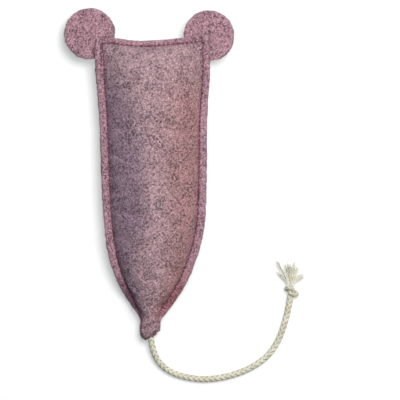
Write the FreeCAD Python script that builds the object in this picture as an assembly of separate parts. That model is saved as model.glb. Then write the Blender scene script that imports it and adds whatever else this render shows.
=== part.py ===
import FreeCAD, Part
import math
import os

# A stuffed felt mouse with a braided cord tail, lying on its back panel.
# Millimetres. +Y points to the ears, +Z up. The origin is on the surface that the mouse
# rests on, below the middle of the felt body and its ears; the tail isn't counted.

# ---------------------------------------------------------------- driving dimensions
FELT = 2.2                 # thickness of the felt sheet
SEAM_GAP = 0.2             # clearance between the two panels where they are sewn
BODY_TOP = 82.0            # mean height of the top edge
BODY_END = -100.6          # lower end of the felt, where the cord leaves it
BELLY_LEVEL = 0.0          # the surface that the mouse rests on

TOP_SEAM = 4.0             # depth of the top seam allowance, down to the dome
TOP_CURVE_FADE = 25.0      # distance over which the rows forget the top edge's curve
SHOULDER = 24.0            # distance over which the dome rises from the top seam
SHOULDER_POWER = 2.6
STITCH_OUTSIDE = 0.7       # distance of the stitches from the foot of the dome

FILLING_CLEAR = 0.4        # clearance between the filling and the felt
FILLING_END = -88.5        # lower end of the filling, above the stop knot

EAR_LEVEL = 12.2           # mid-plane of the ears
EAR_FOLD_OUTSIDE = 1.8     # distance of the fold line from the panel's corner
EAR_FOLD_GAP = 0.35        # clearance behind the rounded edge of the flap
EAR_PLAY = 0.05            # clearance between a tab and the felt over and under it
EARS = {
    "ear_left": {"centre": (-36.3, 85.2), "radius": 15.4, "corner": (-34.7, 81.7), "side": -1},
    "ear_right": {"centre": (36.4, 84.0), "radius": 15.3, "corner": (36.3, 85.0), "side": 1},
}

THREAD_RADIUS = 0.28
THREAD_CLEAR = 0.05
STITCH_PITCH = 2.8
STITCH_LENGTH = 2.1

CORD_DIAMETER = 4.0
STOP_KNOT_CENTRE = (0.5, -95.2, 6.6)
STOP_KNOT_RADIUS = 3.6
CORD_EXIT = (0.8, -99.9, 6.4)
PIVOT_FROM_EXIT = 3.4      # distance along the cord from its exit to the tail's pivot
ROOT_GAP = 0.3             # clearance between the root and the rounded start of the tail

KNOT_CENTRE = (87.1, -71.9, 3.45)
KNOT_HALF_LENGTH = 4.6     # across the cord
KNOT_RADIUS = 3.3
TASSEL_PIVOT = (86.6, -67.9, 3.2)
TASSEL_CLEAR_RADIUS = 2.65
YARN_RADIUS = 0.5
YARN_STRAIGHT = 2.6        # how far a yarn leaves the throat before it fans out

# The cord's route from its exit to the knot, chosen by hand.
TAIL_ROUTE = [
    CORD_EXIT,
    (1.9, -107.0, 5.4),
    (4.9, -114.7, 3.2),
    (11.5, -121.0, 2.1),
    (22.4, -125.0, 2.05),
    (35.9, -126.3, 2.05),
    (49.9, -123.9, 2.05),
    (63.3, -118.7, 2.05),
    (73.7, -110.8, 2.05),
    (79.8, -101.0, 2.05),
    (83.4, -90.0, 2.1),
    (85.6, -80.7, 2.3),
    (86.5, -74.5, 2.9),
]

# Tips of the frayed yarns, in order round the fan, from the left to the right.
YARN_TIPS = [
    (79.4, -62.1, 1.2),
    (78.7, -54.6, 3.2),
    (83.6, -55.1, 0.9),
    (86.4, -54.9, 3.8),
    (89.0, -55.3, 1.0),
    (90.8, -58.3, 3.4),
    (93.6, -61.4, 1.1),
    (94.8, -62.9, 3.0),
]

# ---------------------------------------------------------------- outline of the felt
# Each table gives a value against Y, or against X for the top edge.
LEFT_EDGE = [
    (81.7, -34.7), (60, -32.3), (30, -30.0), (0, -29.0), (-24, -27.8), (-45, -25.6),
    (-60, -21.9), (-72, -16.5), (-82, -9.8), (-89.7, -5.1), (-95.3, -5.8), (-99, -4.6),
    (BODY_END, -2.2),
]
RIGHT_EDGE = [
    (85.2, 36.3), (63, 36.8), (33, 35.1), (0, 34.8), (-24, 34.4), (-42, 31.8),
    (-54, 27.8), (-66, 23.2), (-78, 15.6), (-85, 10.5), (-90, 6.6), (-95, 6.6),
    (-98.5, 5.2), (BODY_END, 3.8),
]
TOP_EDGE = [
    (-34.7, 81.7), (-24, 82.7), (-14, 81.4), (-4, 80.5), (8, 81.4), (22, 82.7), (36.3, 85.0),
]
LEFT_FLANGE = [(82, 5.3), (-66, 5.3), (-75, 4.2), (-82, 2.6), (-87, 1.1), (-91, 0.5),
               (BODY_END, 0.3)]
RIGHT_FLANGE = [(82, 5.3), (-66, 5.6), (-75, 5.6), (-82, 5.0), (-87, 2.6), (-91, 0.6),
                (BODY_END, 0.3)]
FLANGE_FELT = [(82, FELT), (-70, FELT), (-84, 1.3), (-91, 0.5), (BODY_END, 0.4)]
CROWN_FELT = [(82, FELT), (-70, FELT), (-90, 1.7), (-97, 1.6), (BODY_END, 0.6)]
SEAM_LEVEL = [(86, 12.2), (40, 12.8), (0, 12.8), (-40, 12.2), (-65, 10.4), (-80, 8.4),
              (-90, 7.0), (BODY_END, 6.4)]
FRONT_RISE = [(86, 14.6), (-30, 14.6), (-50, 13.2), (-65, 11.0), (-78, 8.6), (-86, 6.3),
              (-90, 5.4), (-95.5, 5.8), (-99, 4.3), (BODY_END, 2.6)]
BACK_DEPTH = [(86, 11.4), (-30, 11.4), (-50, 9.6), (-65, 8.0), (-78, 6.6), (-86, 5.4),
              (-90, 5.0), (-95.5, 5.6), (-99, 4.1), (BODY_END, 2.6)]
# The dome's section is height * (1 - |x|^power)^bluntness, a lens that turns into an ellipse.
SECTION_POWER = [(86, 2.5), (-50, 2.5), (-88, 2.0), (BODY_END, 2.0)]
SECTION_BLUNTNESS = [(86, 1.0), (-50, 1.0), (-88, 0.5), (BODY_END, 0.5)]
INNER_INSET = [(86, 1.0), (-50, 1.0), (-84, 1.5), (-97, 1.5), (BODY_END, 0.35)]

FLANGE_COLUMNS = [0.0, 0.5, 0.86, 1.0]
DOME_ANGLES = [-75, -60, -45, -30, -15, 0, 15, 30, 45, 60, 75]
ROWS_BELOW_TOP = [0, 2.0, 3.3, TOP_SEAM, 5.5, 7.5, 10.5, 15, 21, 28, 38, 50, 62, 74, 86, 98,
                  109, 119, 129, 138, 146, 153, 159, 164, 168, 171.5, 174.5, 177, 179.2, 181,
                  182, BODY_TOP - BODY_END]


def smooth(table):
    """A monotone cubic curve through a table's pairs, and level beyond its ends."""
    pairs = sorted(table)
    at = [pair[0] for pair in pairs]
    value = [pair[1] for pair in pairs]
    step = [b - a for a, b in zip(at, at[1:])]
    slope = [(b - a) / h for a, b, h in zip(value, value[1:], step)]
    tangent = [slope[0]] + [0.0] * (len(at) - 2) + [slope[-1]]
    for i in range(1, len(at) - 1):
        if slope[i - 1] * slope[i] > 0:
            before = 2 * step[i] + step[i - 1]
            after = step[i] + 2 * step[i - 1]
            tangent[i] = (before + after) / (before / slope[i - 1] + after / slope[i])

    def curve(t):
        t = min(max(t, at[0]), at[-1])
        i = max(k for k in range(len(step)) if at[k] <= t)
        u = (t - at[i]) / step[i]
        rise = value[i + 1] - value[i]
        bend = u * (1 - u) * ((1 - u) * (tangent[i] * step[i] - rise)
                              - u * (tangent[i + 1] * step[i] - rise))
        return value[i] + u * rise + bend

    return curve


left_edge = smooth(LEFT_EDGE)
right_edge = smooth(RIGHT_EDGE)
top_edge = smooth(TOP_EDGE)
left_flange = smooth(LEFT_FLANGE)
right_flange = smooth(RIGHT_FLANGE)
flange_felt = smooth(FLANGE_FELT)
crown_felt = smooth(CROWN_FELT)
seam_level = smooth(SEAM_LEVEL)
front_rise = smooth(FRONT_RISE)
back_depth = smooth(BACK_DEPTH)
section_power = smooth(SECTION_POWER)
section_bluntness = smooth(SECTION_BLUNTNESS)
inner_inset = smooth(INNER_INSET)


def ease(t):
    """0 to 1 with level ends."""
    t = min(max(t, 0.0), 1.0)
    return t * t * (3 - 2 * t)


def ear_lift(x, y):
    """How far the felt bends away from the seam to pass over an ear's tab."""
    lift = 0.0
    for ear in EARS.values():
        distance = math.dist((x, y), ear["centre"]) - ear["radius"]
        lift = max(lift, (FELT / 2 + EAR_PLAY) * ease((7.0 - distance) / 6.0))
    return lift


def row_y(below_top, x):
    """Y of a row of the felt; rows near the top follow the curve of the top edge."""
    return BODY_TOP - below_top + (top_edge(x) - BODY_TOP) * math.exp(-below_top / TOP_CURVE_FADE)


def columns(y, inset):
    """X and dome position, -1 to 1, of each column of a row; the flanges have no position."""
    left, right = left_edge(y), right_edge(y)
    foot_left, foot_right = left + left_flange(y), right - right_flange(y)
    middle = (foot_left + foot_right) / 2
    half = (foot_right - foot_left) / 2 - inset
    result = [(left + f * (middle - half - left), None) for f in FLANGE_COLUMNS]
    for angle in DOME_ANGLES:
        position = math.sin(math.radians(angle))
        result.append((middle + half * position, position))
    result += [(right - f * (right - middle - half), None) for f in reversed(FLANGE_COLUMNS)]
    return result


def dome(position, below_top, y, inset):
    """Height of the dome, 0 to 1."""
    if position is None:
        return 0.0
    along = min(max((below_top - TOP_SEAM - inset) / (SHOULDER - inset), 0.0), 1.0)
    shoulder = 1 - (1 - along) ** SHOULDER_POWER
    return shoulder * (1 - abs(position) ** section_power(y)) ** section_bluntness(y)


def face_grid(side, face):
    """Points of one face of a panel, or of the filling. side is 1 in front and -1 behind."""
    height = front_rise if side > 0 else back_depth
    clear = FILLING_CLEAR if face == "filling" else 0.0
    grid = []
    for below_top in ROWS_BELOW_TOP:
        y_row = BODY_TOP - below_top
        crown = SEAM_GAP / 2 + flange_felt(y_row) + height(y_row)
        if face == "outer":
            inset, foot = 0.0, SEAM_GAP / 2 + flange_felt(y_row)
        else:
            inset, foot = inner_inset(y_row) + 2 * clear, SEAM_GAP / 2 + clear
            crown -= crown_felt(y_row) + clear
        across = columns(y_row, inset)
        if face == "filling":
            if below_top <= TOP_SEAM or y_row < FILLING_END:
                continue
            sewn = len(FLANGE_COLUMNS) - 1
            across = across[sewn:-sewn]
        row = []
        for x, position in across:
            y = row_y(below_top, x)
            level = foot + (crown - foot) * dome(position, below_top, y_row, inset)
            level += 0 if face == "filling" else ear_lift(x, y)
            row.append(FreeCAD.Vector(x, y, seam_level(y) + side * level))
        grid.append(row)
    return grid


def surface_over(grid):
    """A smooth surface drawn over a net of points, which it meets at the net's border."""
    degree = 2
    spans = [len(grid) - degree, len(grid[0]) - degree]
    knots = [[float(k) for k in range(span + 1)] for span in spans]
    repeats = [[degree + 1] + [1] * (span - 1) + [degree + 1] for span in spans]
    surface = Part.BSplineSurface()
    surface.buildFromPolesMultsKnots(grid, repeats[0], repeats[1], knots[0], knots[1],
                                     False, False, degree, degree)
    return surface


def closed_solid(faces):
    shell = Part.makeShell(faces)
    shell.sewShape()
    solid = Part.makeSolid(shell)
    if solid.Volume < 0:
        solid.reverse()
    return solid


def sheet_solid(upper, lower):
    """The solid between two surfaces whose borders lie over each other."""
    faces = [upper.toShape(), lower.toShape()]
    for fixed in ("uIso", "vIso"):
        for end in (0, 1):
            borders = []
            for surface in (upper, lower):
                u0, u1, v0, v1 = surface.bounds()
                ends = (u0, u1) if fixed == "uIso" else (v0, v1)
                borders.append(getattr(surface, fixed)(ends[end]).toShape())
            faces.append(Part.makeRuledSurface(borders[0], borders[1]))
    return closed_solid(faces)


def slab(level, above=True):
    """Everything above or below a level, as a large box."""
    size = 600.0
    z = level if above else level - size
    return Part.makeBox(size, size, size, FreeCAD.Vector(-size / 2, -size / 2, z))


def beyond_line(point, outward, offset):
    """Everything further out than a vertical plane across outward, offset from point."""
    size = 120.0
    box = Part.makeBox(size, size, size, FreeCAD.Vector(0, -size / 2, -size / 2))
    box.rotate(FreeCAD.Vector(0, 0, 0), FreeCAD.Vector(0, 0, 1),
               math.degrees(math.atan2(outward.y, outward.x)))
    box.translate(point + outward * offset)
    return box


def ear_pieces(ear):
    """The flap that folds and the tab that the seam holds, both cut from one disc."""
    outward = FreeCAD.Vector(ear["side"], 1, 0).normalize()
    fold = FreeCAD.Vector(*ear["corner"], EAR_LEVEL) + outward * EAR_FOLD_OUTSIDE
    bottom = FreeCAD.Vector(*ear["centre"], EAR_LEVEL - FELT / 2)
    disc = Part.makeCylinder(ear["radius"], FELT, bottom)
    plate = disc.common(beyond_line(fold, outward, 0))
    along = FreeCAD.Vector(-outward.y, outward.x, 0)
    bar_half = 2 * ear["radius"]
    bar = Part.makeCylinder(FELT / 2, 2 * bar_half, fold - along * bar_half, along)
    rounded_edge = bar.common(disc).cut(beyond_line(fold, outward, 0))
    flap = plate.fuse(rounded_edge).removeSplitter()
    tab = disc.cut(beyond_line(fold, outward, -(FELT / 2 + EAR_FOLD_GAP)))
    return flap, tab


def stitch_line():
    """Points of the row of stitches, up the left side, over the top and down the right."""
    steps = 60
    foot = BODY_TOP - TOP_SEAM + STITCH_OUTSIDE
    lowest = -84.0
    heights = [lowest + (foot - lowest) * i / steps for i in range(steps + 1)]
    left = [(left_edge(y) + left_flange(y) - STITCH_OUTSIDE, y) for y in heights]
    right = [(right_edge(y) - right_flange(y) + STITCH_OUTSIDE, y) for y in heights]
    across = [left[-1][0] + (right[-1][0] - left[-1][0]) * i / steps for i in range(steps + 1)]
    depth = TOP_SEAM - STITCH_OUTSIDE
    left = [(x, y + (row_y(depth, x) - foot) * ease((y - 60) / 18)) for x, y in left]
    right = [(x, y + (row_y(depth, x) - foot) * ease((y - 60) / 18)) for x, y in right]
    top = [(x, row_y(depth, x)) for x in across[1:-1]]
    return left + top + right[::-1]


def walk(points, distance):
    """The point at a distance along a line of points."""
    for start, end in zip(points, points[1:]):
        length = math.dist(start, end)
        if distance <= length:
            share = distance / length
            return start[0] + share * (end[0] - start[0]), start[1] + share * (end[1] - start[1])
        distance -= length
    return points[-1]


def thread_row(surface, side):
    """One stitch after another, lying on a panel."""
    line = stitch_line()
    total = sum(math.dist(a, b) for a, b in zip(line, line[1:]))
    stitches = []
    for number in range(int(total / STITCH_PITCH)):
        ends = []
        for distance in (number * STITCH_PITCH, number * STITCH_PITCH + STITCH_LENGTH):
            x, y = walk(line, distance)
            guess = FreeCAD.Vector(x, y, seam_level(y) + side * (flange_felt(y) + ear_lift(x, y)))
            on_felt = surface.value(*surface.parameter(guess))
            ends.append(FreeCAD.Vector(x, y, on_felt.z + side * (THREAD_RADIUS + THREAD_CLEAR)))
        along = ends[1] - ends[0]
        stitches.append(Part.makeCylinder(THREAD_RADIUS, along.Length, ends[0], along))
    return Part.makeCompound(stitches)


def rounded_path(route):
    """Straight runs joined by the largest arcs that they leave room for, and the arcs' radii."""
    points = [FreeCAD.Vector(*point) for point in route]
    edges = []
    radii = []
    start = points[0]
    for before, corner, after in zip(points, points[1:], points[2:]):
        back, ahead = before - corner, after - corner
        reach = 0.45 * min(back.Length, ahead.Length)
        half_turn = (math.pi - back.getAngle(ahead)) / 2
        radius = reach / math.tan(half_turn)
        back.normalize()
        ahead.normalize()
        inward = (back + ahead).normalize()
        arc_start, arc_end = corner + back * reach, corner + ahead * reach
        arc_middle = corner + inward * (radius / math.cos(half_turn) - radius)
        edges.append(Part.LineSegment(start, arc_start).toShape())
        edges.append(Part.Arc(arc_start, arc_middle, arc_end).toShape())
        radii.append(radius)
        start = arc_end
    edges.append(Part.LineSegment(start, points[-1]).toShape())
    return Part.Wire(edges), radii


def tube(route, radius):
    """A round tube along a route, with its line's length and its arcs' radii."""
    path, radii = rounded_path(route)
    start = FreeCAD.Vector(*route[0])
    along = FreeCAD.Vector(*route[1]) - start
    ring = Part.Wire(Part.makeCircle(radius, start, along))
    return path.makePipeShell([ring], True, False), path.Length, radii


def capsule(centre, half_length, radius):
    """A round bar along X with ball ends."""
    middle = FreeCAD.Vector(*centre)
    to_ball = FreeCAD.Vector(half_length - radius, 0, 0)
    shape = Part.makeCylinder(radius, 2 * to_ball.x, middle - to_ball, to_ball)
    for end in (-1, 1):
        ball = Part.makeSphere(radius, middle + to_ball * end, to_ball * end, 0, 90)
        shape = shape.fuse(ball)
    return shape.removeSplitter()


def tail():
    """The cord's root, its stop knot, the free cord and the knot near its end."""
    radius = CORD_DIAMETER / 2
    exit_point = FreeCAD.Vector(*CORD_EXIT)
    along = (FreeCAD.Vector(*TAIL_ROUTE[1]) - exit_point).normalize()
    pivot = exit_point + along * PIVOT_FROM_EXIT
    cord, length, radii = tube([tuple(pivot)] + TAIL_ROUTE[1:], radius)
    start_cap = Part.makeSphere(radius, pivot, along * -1, 0, 90)
    cord = cord.fuse(start_cap).removeSplitter()
    stop_knot = Part.makeSphere(STOP_KNOT_RADIUS, FreeCAD.Vector(*STOP_KNOT_CENTRE))
    root_end = pivot - along * (radius + ROOT_GAP)
    root_start = root_end - along * 4.4
    root = Part.makeCylinder(radius, 4.4, root_start, along)
    stop_knot = stop_knot.cut(root)
    knot = capsule(KNOT_CENTRE, KNOT_HALF_LENGTH, KNOT_RADIUS).cut(cord)
    knot = knot.cut(Part.makeSphere(TASSEL_CLEAR_RADIUS, FreeCAD.Vector(*TASSEL_PIVOT)))
    print("tail: pivot", [round(v, 3) for v in pivot], "length", round(length, 2),
          "volume over section times length",
          round(cord.Volume / (math.pi * radius ** 2 * length), 4))
    print("tail: radii", [round(r, 1) for r in radii])
    return {"tail_root": root, "tail_inner_knot": stop_knot, "tail_cord": cord,
            "tail_knot": knot}


def tassel():
    """The frayed yarns, two deep at the throat, each bent once towards its tip."""
    pivot = FreeCAD.Vector(*TASSEL_PIVOT)
    yarns = {}
    for number, tip in enumerate(YARN_TIPS):
        across = (number // 2 - 1.5) * 2.15 * YARN_RADIUS
        up = (number % 2 - 0.5) * 2.3 * YARN_RADIUS
        root = pivot + FreeCAD.Vector(across, 0, up)
        bend = root + FreeCAD.Vector(0.35 * across, YARN_STRAIGHT, 0.35 * up)
        yarn = tube([tuple(root), tuple(bend), tip], YARN_RADIUS)[0]
        yarns["tassel_yarn_%d" % (number + 1)] = yarn
    return yarns


def tack_stitches(front):
    """Three short stitches that close the lower end of the felt on the cord."""
    stitches = []
    for x, y, turn in ((3.4, -94.9, 20), (4.1, -94.2, 70), (2.9, -93.9, 130)):
        line = Part.makeLine(FreeCAD.Vector(x, y, 0), FreeCAD.Vector(x, y, 40))
        top = max(vertex.Z for vertex in front.common(line).Vertexes)
        along = FreeCAD.Vector(math.cos(math.radians(turn)), math.sin(math.radians(turn)), -0.35)
        along.normalize()
        middle = FreeCAD.Vector(x, y, top + 2 * THREAD_RADIUS)
        stitch = Part.makeCylinder(THREAD_RADIUS, 1.6, middle - along * 0.8, along)
        stitches.append(stitch.cut(front))
    return Part.makeCompound(stitches)


def build():
    front_outer = surface_over(face_grid(1, "outer"))
    front_inner = surface_over(face_grid(1, "inner"))
    back_outer = surface_over(face_grid(-1, "outer"))
    back_inner = surface_over(face_grid(-1, "inner"))
    front = sheet_solid(front_outer, front_inner)
    back = sheet_solid(back_inner, back_outer).common(slab(BELLY_LEVEL))
    filling = sheet_solid(surface_over(face_grid(1, "filling")),
                          surface_over(face_grid(-1, "filling")))
    nodes = {"front_panel": front, "back_panel": back, "filling": filling}
    for name, ear in EARS.items():
        flap, tab = ear_pieces(ear)
        nodes[name] = flap
        nodes[name + "_tab"] = tab
        for panel in ("front_panel", "back_panel", "filling"):
            nodes[panel] = nodes[panel].cut(tab)
    nodes["needle_thread"] = thread_row(front_outer, 1)
    nodes["bobbin_thread"] = thread_row(back_outer, -1)
    nodes["tail_tack"] = tack_stitches(front)
    nodes.update(tail())
    nodes.update(tassel())
    return nodes


os.makedirs("parts", exist_ok=True)
for node, shape in build().items():
    box = shape.BoundBox
    print("%-16s valid %s solids %d volume %.1f  x %.1f..%.1f  y %.1f..%.1f  z %.2f..%.2f" % (
        node, shape.isValid(), len(shape.Solids), shape.Volume,
        box.XMin, box.XMax, box.YMin, box.YMax, box.ZMin, box.ZMax))
    shape.exportStep("parts/%s.step" % node)
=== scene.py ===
import math
import random

import bpy
import numpy as np
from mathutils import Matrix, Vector, noise
from mathutils.bvhtree import BVHTree


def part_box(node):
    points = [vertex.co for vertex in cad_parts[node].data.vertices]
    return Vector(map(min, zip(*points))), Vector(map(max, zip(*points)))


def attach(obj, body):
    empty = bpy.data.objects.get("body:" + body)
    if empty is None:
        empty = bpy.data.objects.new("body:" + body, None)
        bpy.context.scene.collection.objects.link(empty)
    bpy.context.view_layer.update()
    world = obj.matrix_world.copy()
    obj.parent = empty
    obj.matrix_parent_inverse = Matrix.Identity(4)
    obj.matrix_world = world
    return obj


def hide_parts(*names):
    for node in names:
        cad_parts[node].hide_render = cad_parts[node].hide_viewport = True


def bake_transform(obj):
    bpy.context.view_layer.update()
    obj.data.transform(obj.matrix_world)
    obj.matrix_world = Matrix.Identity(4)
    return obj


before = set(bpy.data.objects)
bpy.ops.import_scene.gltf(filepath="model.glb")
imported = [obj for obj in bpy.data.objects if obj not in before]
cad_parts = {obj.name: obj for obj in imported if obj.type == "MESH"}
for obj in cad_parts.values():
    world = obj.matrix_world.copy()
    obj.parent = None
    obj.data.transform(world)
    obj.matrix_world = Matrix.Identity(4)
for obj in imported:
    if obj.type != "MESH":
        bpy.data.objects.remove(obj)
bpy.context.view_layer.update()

# A stuffed felt mouse with a braided cord tail, seen from straight above.
# Shapes are in millimetres, in the frame of the CAD model, and become metres when a mesh is
# made. The outer side of the front panel is side 1, that of the back panel side -1.
MM = 0.001

FELT = 2.2                     # thickness of the felt
EDGE_ROUND = 0.7               # rounding of a cut felt edge
THINNEST_FELT = 0.35           # where the seam presses a panel
FLOOR_GAP = 0.04               # the felt's clearance above the floor
BODY_TOP = 82.0
BODY_END = -100.6
EAR_FOLD_OUTSIDE = 1.8         # distance of an ear's fold from the panel's corner
SWELL_LIMIT = 1.3              # how far the stuffing may move the felt
CLOTH_SCALE = 10.0             # the cloth is simulated this much larger
DOME_COLUMNS = 52              # columns of a panel's grid between its two seams
RAY_HEIGHT = 50.0              # rays that feel for a surface start this far above or below it

TOP_INSET = 3.3                # the top row of stitches, from the top edge
SIDE_INSET = 4.6               # the usual inset of the side rows
SEAM_TOP_FADE = 25.0           # rows near the top edge follow its curve for this far
STITCH_PITCH = 2.8
STITCH_LENGTH = 1.75
THREAD_RADIUS = 0.31
LEFT_STITCH_END = -82.0
RIGHT_STITCH_END = -83.3
SEAM_LEVEL = 7.0               # height of a stitch that has no felt under it

CORD_DIAMETER = 4.0
CORD_LAY = 13.0                # length of one turn of the braid's strands
KNOT_CORD_DIAMETER = 2.55      # the cord where the knot squeezes it
KNOT_LAY = 9.5
STRANDS = 4                    # strands of the braid that turn each way
STRAND_SIDES = 8
BRAID_STEP = 0.26              # distance between the points along a strand
TASSEL_THROAT = np.array([86.6, -67.9, 3.2])
FIBRES_PER_YARN = 36

# The felt as a cloth that the stuffing presses out.
CLOTH = {"vertex_group_mass": "sewn", "quality": 6, "mass": 0.3, "tension_stiffness": 30,
         "compression_stiffness": 30, "shear_stiffness": 20, "bending_stiffness": 3.0,
         "use_pressure": True, "uniform_pressure_force": 4.0, "shrink_min": -0.02}
CLOTH_FRAMES = 18

# Inset of the stitches from the edges, against Y.
LEFT_SEAM = [(-100.6, 0.25), (-91, 0.45), (-87, 0.6), (-82, 2.4), (-75, 4.2), (-60, 4.6),
             (55, 4.6), (68, 4.9), (78, 3.9)]
RIGHT_SEAM = [(-100.6, 0.25), (-91, 0.5), (-87, 2.2), (-82, 4.7), (-75, 5.0), (-60, 4.8),
              (20, 4.4), (68, 4.0), (78, 3.8)]
# Columns of the grid near a side edge, where the stitches are SIDE_INSET from it.
FLANGE_COLUMNS = [0, 0.14, 0.38, 0.7, 1.3, 2.1, 2.9, 3.5, 3.9, 4.25, 4.6, 4.95, 5.35, 5.9, 6.7]

# Creases of the felt: two ends, depth and half-width.
CREASES = [
    ((12, 12.5), (31, 13.5), 0.35, 1.3), ((-26, 33), (-9, 35.5), 0.30, 1.4),
    ((-25, 52), (-12, 50), 0.25, 1.3), ((14, 45), (30, 42), 0.28, 1.5),
    ((-24, 4), (-6, 1), 0.30, 1.4), ((-4, -9), (14, -7.5), 0.22, 1.3),
    ((-23, -22), (-8, -25), 0.26, 1.4), ((10, -31), (28, -28), 0.26, 1.4),
    ((-20, -45), (-4, -47), 0.24, 1.3), ((2, -62), (18, -60), 0.22, 1.2),
    ((-3.4, -94.9), (2.3, -91.4), 1.7, 0.7), ((2.3, -91.4), (5.9, -91.0), 1.7, 0.65),
    ((2.0, -83.5), (2.2, -90.5), 0.50, 0.9),
]
BACK_CREASES = [
    ((-24, 30), (-4, 27), 0.2, 1.3), ((6, -20), (26, -24), 0.2, 1.4),
    ((-2.6, -93.6), (4.4, -91.4), 0.5, 0.6),
]
# Shades of the felt, marked on its meshes: painted shade in the seam's groove, the creases and the
# lower fins, pinker along the edges and the ears, and painted shade that is bluer towards the left
# seam and browner towards the right one.
FELT_TINTS = {"groove": (0.86, 0.64, 0.71), "pink": (1.0, 0.86, 0.95),
              "cool": (0.67, 0.67, 0.80), "warm": (0.93, 0.76, 0.71)}
# A second short row at the start of the seam: place, direction and length of each stitch.
BACKTACK = [((-29.5, 76.2), (0.05, 1), 2.2), ((-29.3, 73.4), (0.06, 1), 2.2),
            ((-29.1, 70.6), (0.04, 1), 2.2), ((-28.9, 68.2), (0.1, 1), 1.7)]
# The stitches that close the lower end on the cord.
TACK_LINE = [(3.3, -97.6), (3.9, -94.9), (4.6, -91.6)]
# Each ear: its centre, its radius, the panel's corner beside it, and its side.
EARS = {
    "ear_left": ((-36.3, 85.2), 15.4, (-34.7, 81.7), -1),
    "ear_right": ((36.4, 84.0), 15.3, (36.3, 85.0), 1),
}
# The frayed yarns: the tip of each, from left to right, and how wide it fans.
YARNS = [
    ((79.6, -61.6, 1.3), 0.8), ((79.2, -55.2, 3.2), 0.4), ((84.0, -56.2, 1.4), 1.1),
    ((86.4, -55.4, 3.6), 1.2), ((88.8, -56.2, 1.6), 1.05), ((90.6, -58.8, 3.2), 0.7),
    ((92.6, -62.0, 1.4), 0.7), ((93.6, -63.2, 3.0), 0.5),
]

# The cord's route from its exit to the knot, in metres: the same points as in the CAD model.
TAIL_ROUTE = [
    (0.0008, -0.0999, 0.0064), (0.0019, -0.1070, 0.0054), (0.0049, -0.1147, 0.0032),
    (0.0115, -0.1210, 0.0021), (0.0224, -0.1250, 0.00205), (0.0359, -0.1263, 0.00205),
    (0.0499, -0.1239, 0.00205), (0.0633, -0.1187, 0.00205), (0.0737, -0.1108, 0.00205),
    (0.0798, -0.1010, 0.00205), (0.0834, -0.0900, 0.0021), (0.0856, -0.0807, 0.0023),
    (0.0865, -0.0745, 0.0029),
]

scene = bpy.context.scene


# ---------------- camera and light
def make_camera():
    """Straight down on the middle of the view, through a long lens."""
    middle = Vector((31.0, -16.2, 12.8)) * MM
    view_width = 0.244
    distance = 2.4
    data = bpy.data.cameras.new("camera")
    data.sensor_width = 36.0
    data.lens = data.sensor_width * distance / view_width
    data.clip_end = 20.0
    camera = bpy.data.objects.new("camera", data)
    camera.location = middle + Vector((0, 0, distance))
    scene.collection.objects.link(camera)
    scene.camera = camera


def area_light(name, place, target, size, power, colour):
    """A round soft light, aimed at a target; places in metres, power in watts."""
    data = bpy.data.lights.new(name, "AREA")
    data.shape = "DISK"
    data.size = size
    data.energy = power
    data.color = colour
    light = bpy.data.objects.new(name, data)
    light.location = place
    aim = Vector(target) - Vector(place)
    light.rotation_euler = aim.to_track_quat("-Z", "Y").to_euler()
    scene.collection.objects.link(light)


def make_lights():
    target = (0.01, -0.02, 0.0)
    area_light("key", (0.28, 0.36, 1.15), target, 0.74, 27.5, (1.0, 0.985, 0.99))
    area_light("warm_side", (1.1, -0.1, 0.26), target, 0.5, 2.0, (1.0, 0.70, 0.62))
    area_light("cool_side", (-1.1, -0.3, 0.26), target, 0.5, 0.9, (0.64, 0.70, 1.0))
    world = bpy.data.worlds.new("studio")
    world.use_nodes = True
    background = world.node_tree.nodes["Background"]
    background.inputs["Color"].default_value = (0.96, 0.98, 0.98, 1)
    background.inputs["Strength"].default_value = 0.10
    scene.world = world
    scene.view_settings.view_transform = "Standard"


# ---------------- materials
class Nodes:
    """A short way to write a material's nodes."""

    def __init__(self, name):
        self.material = bpy.data.materials.new(name)
        self.material.use_nodes = True
        self.tree = self.material.node_tree
        self.surface = self.tree.nodes["Principled BSDF"]
        self.place = self.add("ShaderNodeTexCoord").outputs["Object"]

    def add(self, kind, inputs=None, **settings):
        made = self.tree.nodes.new(kind)
        for key, value in settings.items():
            setattr(made, key, value)
        for key, value in (inputs or {}).items():
            self.set(made.inputs[key], value)
        return made

    def set(self, socket, value):
        if isinstance(value, bpy.types.NodeSocket):
            self.tree.links.new(value, socket)
        else:
            socket.default_value = value

    def math(self, operation, a, b=0.0, c=0.0):
        made = self.add("ShaderNodeMath", {0: a, 1: b, 2: c}, operation=operation)
        return made.outputs[0]

    def noise(self, size, detail=2.0, rough=0.5, place=None, distortion=0.0):
        """Noise whose features are size millimetres across."""
        made = self.add("ShaderNodeTexNoise", {
            "Vector": place or self.place, "Scale": 1.0 / (size * MM), "Detail": detail,
            "Roughness": rough, "Distortion": distortion})
        return made.outputs["Fac"]

    def turned(self, turn, along=1.0):
        """The place, turned, and stretched for features that run one way."""
        made = self.add("ShaderNodeMapping", {
            "Vector": self.place, "Location": (0.013 * turn, 0.007 * turn, 0.0),
            "Rotation": (0.35 * turn, 0.2, turn), "Scale": (1.0, along, 1.0)},
            vector_type="TEXTURE")
        return made.outputs[0]

    def step(self, value, low, high):
        """0 below low, 1 above high, and smooth between."""
        made = self.add("ShaderNodeMapRange", {
            "Value": value, "From Min": low, "From Max": high}, interpolation_type="SMOOTHSTEP")
        return made.outputs[0]

    def mix(self, share, a, b, blend="MIX"):
        made = self.add("ShaderNodeMix", data_type="RGBA", blend_type=blend)
        self.set(made.inputs[0], share)
        self.set(made.inputs[6], a)
        self.set(made.inputs[7], b)
        return made.outputs[2]

    def look(self, values):
        """Sets inputs of the surface shader, by their names."""
        for key, value in values.items():
            self.set(self.surface.inputs[key], value)

    def bump(self, height, strength, distance):
        made = self.add("ShaderNodeBump", {
            "Height": height, "Strength": strength, "Distance": distance * MM})
        self.tree.links.new(made.outputs[0], self.surface.inputs["Normal"])


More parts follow.
